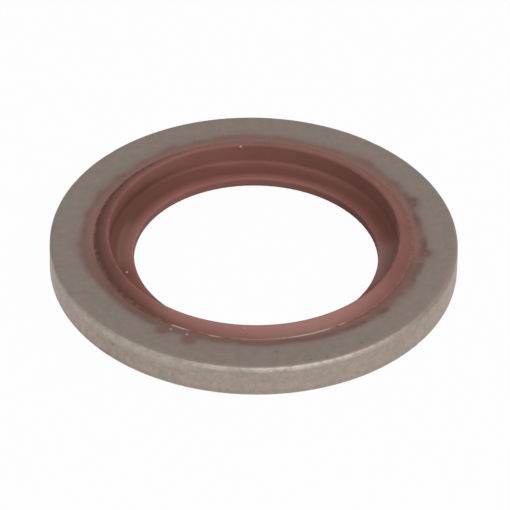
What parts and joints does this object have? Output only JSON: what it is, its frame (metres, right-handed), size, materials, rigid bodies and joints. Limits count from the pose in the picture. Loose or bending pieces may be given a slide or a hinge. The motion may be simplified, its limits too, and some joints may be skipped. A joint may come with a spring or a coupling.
{
  "type": "sealing washer",
  "caption": "Flat steel ring with brown rubber bonded to its bore: a sealing bead proud of each face and a thin web that centres the washer on a screw thread.",
  "frame": {"origin": "centre of the steel ring on its axis, half way through its thickness", "axes": "+Z along the ring's axis, out of the face that the picture shows; X and Y lie in the ring's plane, and -Y faces the camera"},
  "size_m": [0.024, 0.024, 0.003],
  "materials": {
    "ring_steel": "tumbled mild steel, dull warm grey, passivated",
    "seal_rubber": "moulded red-brown fluoroelastomer, satin"
  },
  "bodies": {
    "root": {"steel_ring": "ring_steel", "rubber_seal": "seal_rubber"}
  },
  "joints": []
}
